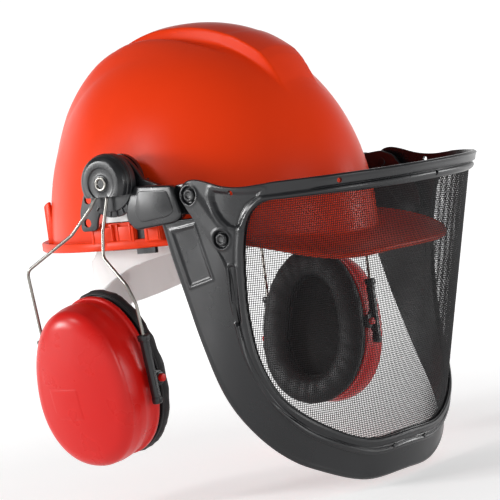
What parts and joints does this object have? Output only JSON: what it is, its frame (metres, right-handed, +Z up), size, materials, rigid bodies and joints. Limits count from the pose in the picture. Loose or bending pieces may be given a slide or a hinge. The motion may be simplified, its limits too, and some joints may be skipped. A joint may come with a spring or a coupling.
{
  "type": "hard hat",
  "caption": "Forestry hard hat with a ridged shell, flip-up mesh visor with chin guard, and spring-wire ear muffs on side knobs.",
  "frame": {"origin": "centre of the headband in the rim plane of the shell", "axes": "+Z up through the crown, -Y to the wearer's front, -X to the wearer's right"},
  "size_m": [0.3242, 0.3269, 0.3258],
  "materials": {
    "shell_orange": "glossy orange-red ABS",
    "red_plastic": "glossy red, fine grain",
    "black_plastic": "satin black nylon",
    "grey_plastic": "satin dark grey",
    "pale_plastic": "milky polyethylene",
    "webbing": "woven textile strap",
    "sweatband_cloth": "soft padded cloth",
    "steel": "bright spring steel",
    "dark_mesh": "black painted woven wire",
    "foam": "open-cell foam",
    "cushion_skin": "smooth leatherette"
  },
  "bodies": {
    "helmet": {"shell": "shell_orange", "headband": "pale_plastic", "sweatband": "sweatband_cloth", "nape_slider": "pale_plastic", "cradle_strap_lower": "webbing", "cradle_strap_upper": "webbing", "harness_anchors": "black_plastic", "adapter_base_right": "black_plastic", "slot_insert_right": "pale_plastic", "strap_bracket_right": "grey_plastic", "detent_fan_right": "grey_plastic", "hub_rivet_right": "steel", "adapter_base_left": "black_plastic", "slot_insert_left": "pale_plastic", "strap_bracket_left": "grey_plastic", "detent_fan_left": "grey_plastic", "hub_rivet_left": "steel"},
    "visor": {"visor_arm_right": "black_plastic", "visor_arm_left": "black_plastic", "visor_frame": "black_plastic", "chin_guard": "black_plastic", "mesh_screen": "dark_mesh", "retaining_frame": "black_plastic", "snap_pins": "black_plastic", "chin_pins": "black_plastic"},
    "muff_carrier_right": {"knob_cap_right": "black_plastic"},
    "yoke_right": {"yoke_wire_right": "steel"},
    "muff_slide_right": {"holder_front_right": "black_plastic", "holder_rear_right": "black_plastic"},
    "cup_right": {"cup_shell_right": "red_plastic", "cup_stubs_right": "red_plastic", "seat_plate_right": "black_plastic", "cup_foam_right": "foam", "ear_cushion_right": "cushion_skin"},
    "muff_carrier_left": {"knob_cap_left": "black_plastic"},
    "yoke_left": {"yoke_wire_left": "steel"},
    "muff_slide_left": {"holder_front_left": "black_plastic", "holder_rear_left": "black_plastic"},
    "cup_left": {"cup_shell_left": "red_plastic", "cup_stubs_left": "red_plastic", "seat_plate_left": "black_plastic", "cup_foam_left": "foam", "ear_cushion_left": "cushion_skin"}
  },
  "joints": [
    {"name": "visor_flip", "type": "hinge", "parent": "helmet", "child": "visor", "pos_m": [0, -0.007, 0.047], "axis": [-1, 0, 0], "range_deg": [0, 80]},
    {"name": "muff_swing_right", "type": "hinge", "parent": "helmet", "child": "muff_carrier_right", "pos_m": [-0.125, -0.007, 0.047], "axis": [1, 0, 0], "range_deg": [-8, 20]},
    {"name": "muff_out_right", "type": "hinge", "parent": "muff_carrier_right", "child": "yoke_right", "pos_m": [-0.124, -0.002, 0.039], "axis": [0, 1, 0], "range_deg": [0, 25]},
    {"name": "muff_height_right", "type": "slide", "parent": "yoke_right", "child": "muff_slide_right", "axis": [0.1392, 0, -0.9903], "range_m": [-0.01, 0.01]},
    {"name": "cup_tilt_right", "type": "hinge", "parent": "muff_slide_right", "child": "cup_right", "pos_m": [-0.1185, 0.0165, -0.088], "axis": [0, 1, 0], "range_deg": [-10, 10]},
    {"name": "muff_swing_left", "type": "hinge", "parent": "helmet", "child": "muff_carrier_left", "pos_m": [0.125, -0.007, 0.047], "axis": [1, 0, 0], "range_deg": [-8, 20]},
    {"name": "muff_out_left", "type": "hinge", "parent": "muff_carrier_left", "child": "yoke_left", "pos_m": [0.124, -0.00272, 0.03859], "axis": [0, -0.9962, 0.0872], "range_deg": [0, 25]},
    {"name": "muff_height_left", "type": "slide", "parent": "yoke_left", "child": "muff_slide_left", "axis": [-0.1381, -0.1032, -0.985], "range_m": [-0.01, 0.01]},
    {"name": "cup_tilt_left", "type": "hinge", "parent": "muff_slide_left", "child": "cup_left", "pos_m": [0.11629, 0.00384, -0.08946], "axis": [0.1219, -0.9888, 0.0865], "range_deg": [-10, 10]}
  ]
}
